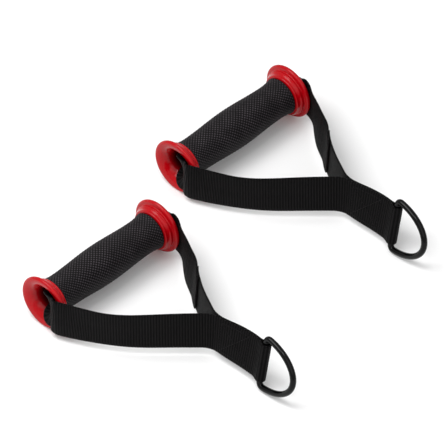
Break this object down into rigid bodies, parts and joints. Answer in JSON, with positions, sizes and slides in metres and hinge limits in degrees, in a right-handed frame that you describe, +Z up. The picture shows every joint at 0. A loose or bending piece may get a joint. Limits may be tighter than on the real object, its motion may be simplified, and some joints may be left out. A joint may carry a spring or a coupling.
{
  "type": "stirrup handle pair",
  "caption": "Pair of stirrup pulley handles: knurled rubber grip with trumpet flanges turning on a webbing yoke that ends in a swinging D-ring.",
  "frame": {"origin": "on the floor at the middle of the pair's footprint", "axes": "+X along both grips, +Y away from the D-rings, +Z up; both handles lie on their flanges and D-rings"},
  "size_m": [0.3646, 0.3006, 0.0546],
  "materials": {
    "red_plastic": "gloss",
    "grip_rubber": "fine diamond knurl, matt",
    "tube_plastic": "satin",
    "webbing": "ribbed weave",
    "thread": "twisted thread",
    "ring_steel": "gloss black coating"
  },
  "bodies": {
    "near_grip": {"near_core_tube": "tube_plastic", "near_grip_sleeve": "grip_rubber", "near_left_flange": "red_plastic", "near_right_flange": "red_plastic"},
    "near_yoke": {"near_tube_webbing": "webbing", "near_left_leg": "webbing", "near_right_leg": "webbing", "near_lap_leg": "webbing", "near_lap_stitch": "thread"},
    "near_tail": {"near_tail_left_ply": "webbing", "near_tail_right_ply": "webbing", "near_ring_loop": "webbing", "near_box_stitch_left": "thread", "near_box_stitch_right": "thread"},
    "near_ring": {"near_d_ring": "ring_steel"},
    "far_grip": {"far_core_tube": "tube_plastic", "far_grip_sleeve": "grip_rubber", "far_left_flange": "red_plastic", "far_right_flange": "red_plastic"},
    "far_yoke": {"far_tube_webbing": "webbing", "far_left_leg": "webbing", "far_right_leg": "webbing", "far_lap_leg": "webbing", "far_lap_stitch": "thread"},
    "far_tail": {"far_tail_left_ply": "webbing", "far_tail_right_ply": "webbing", "far_ring_loop": "webbing", "far_box_stitch_left": "thread", "far_box_stitch_right": "thread"},
    "far_ring": {"far_d_ring": "ring_steel"}
  },
  "joints": [
    {"name": "far_lift", "type": "slide", "parent": "near_grip", "child": "far_grip", "axis": [0, 0, 1], "range_m": [0, 0.15]},
    {"name": "near_yoke_spin", "type": "hinge", "parent": "near_grip", "child": "near_yoke", "pos_m": [-0.10397, 0.08206, 0.026], "axis": [1, 0, 0], "continuous": true},
    {"name": "near_tail_flex", "type": "hinge", "parent": "near_yoke", "child": "near_tail", "pos_m": [-0.09769, -0.05514, 0.026], "axis": [0, 0, 1], "range_deg": [-30, 30], "stiffness_Nm_per_rad": 0.02},
    {"name": "near_ring_swing", "type": "hinge", "parent": "near_tail", "child": "near_ring", "pos_m": [-0.09603, -0.10811, 0.0274], "axis": [0.2078, 0.0065, 0.9781], "range_deg": [-143, 157]},
    {"name": "far_yoke_spin", "type": "hinge", "parent": "far_grip", "child": "far_yoke", "pos_m": [0.10383, 0.12426, 0.026], "axis": [1, 0, 0], "continuous": true},
    {"name": "far_tail_flex", "type": "hinge", "parent": "far_yoke", "child": "far_tail", "pos_m": [0.11011, -0.01294, 0.026], "axis": [0, 0, 1], "range_deg": [-30, 30], "stiffness_Nm_per_rad": 0.02},
    {"name": "far_ring_swing", "type": "hinge", "parent": "far_tail", "child": "far_ring", "pos_m": [0.11177, -0.06591, 0.0274], "axis": [0.2078, 0.0065, 0.9781], "range_deg": [-143, 157]}
  ]
}
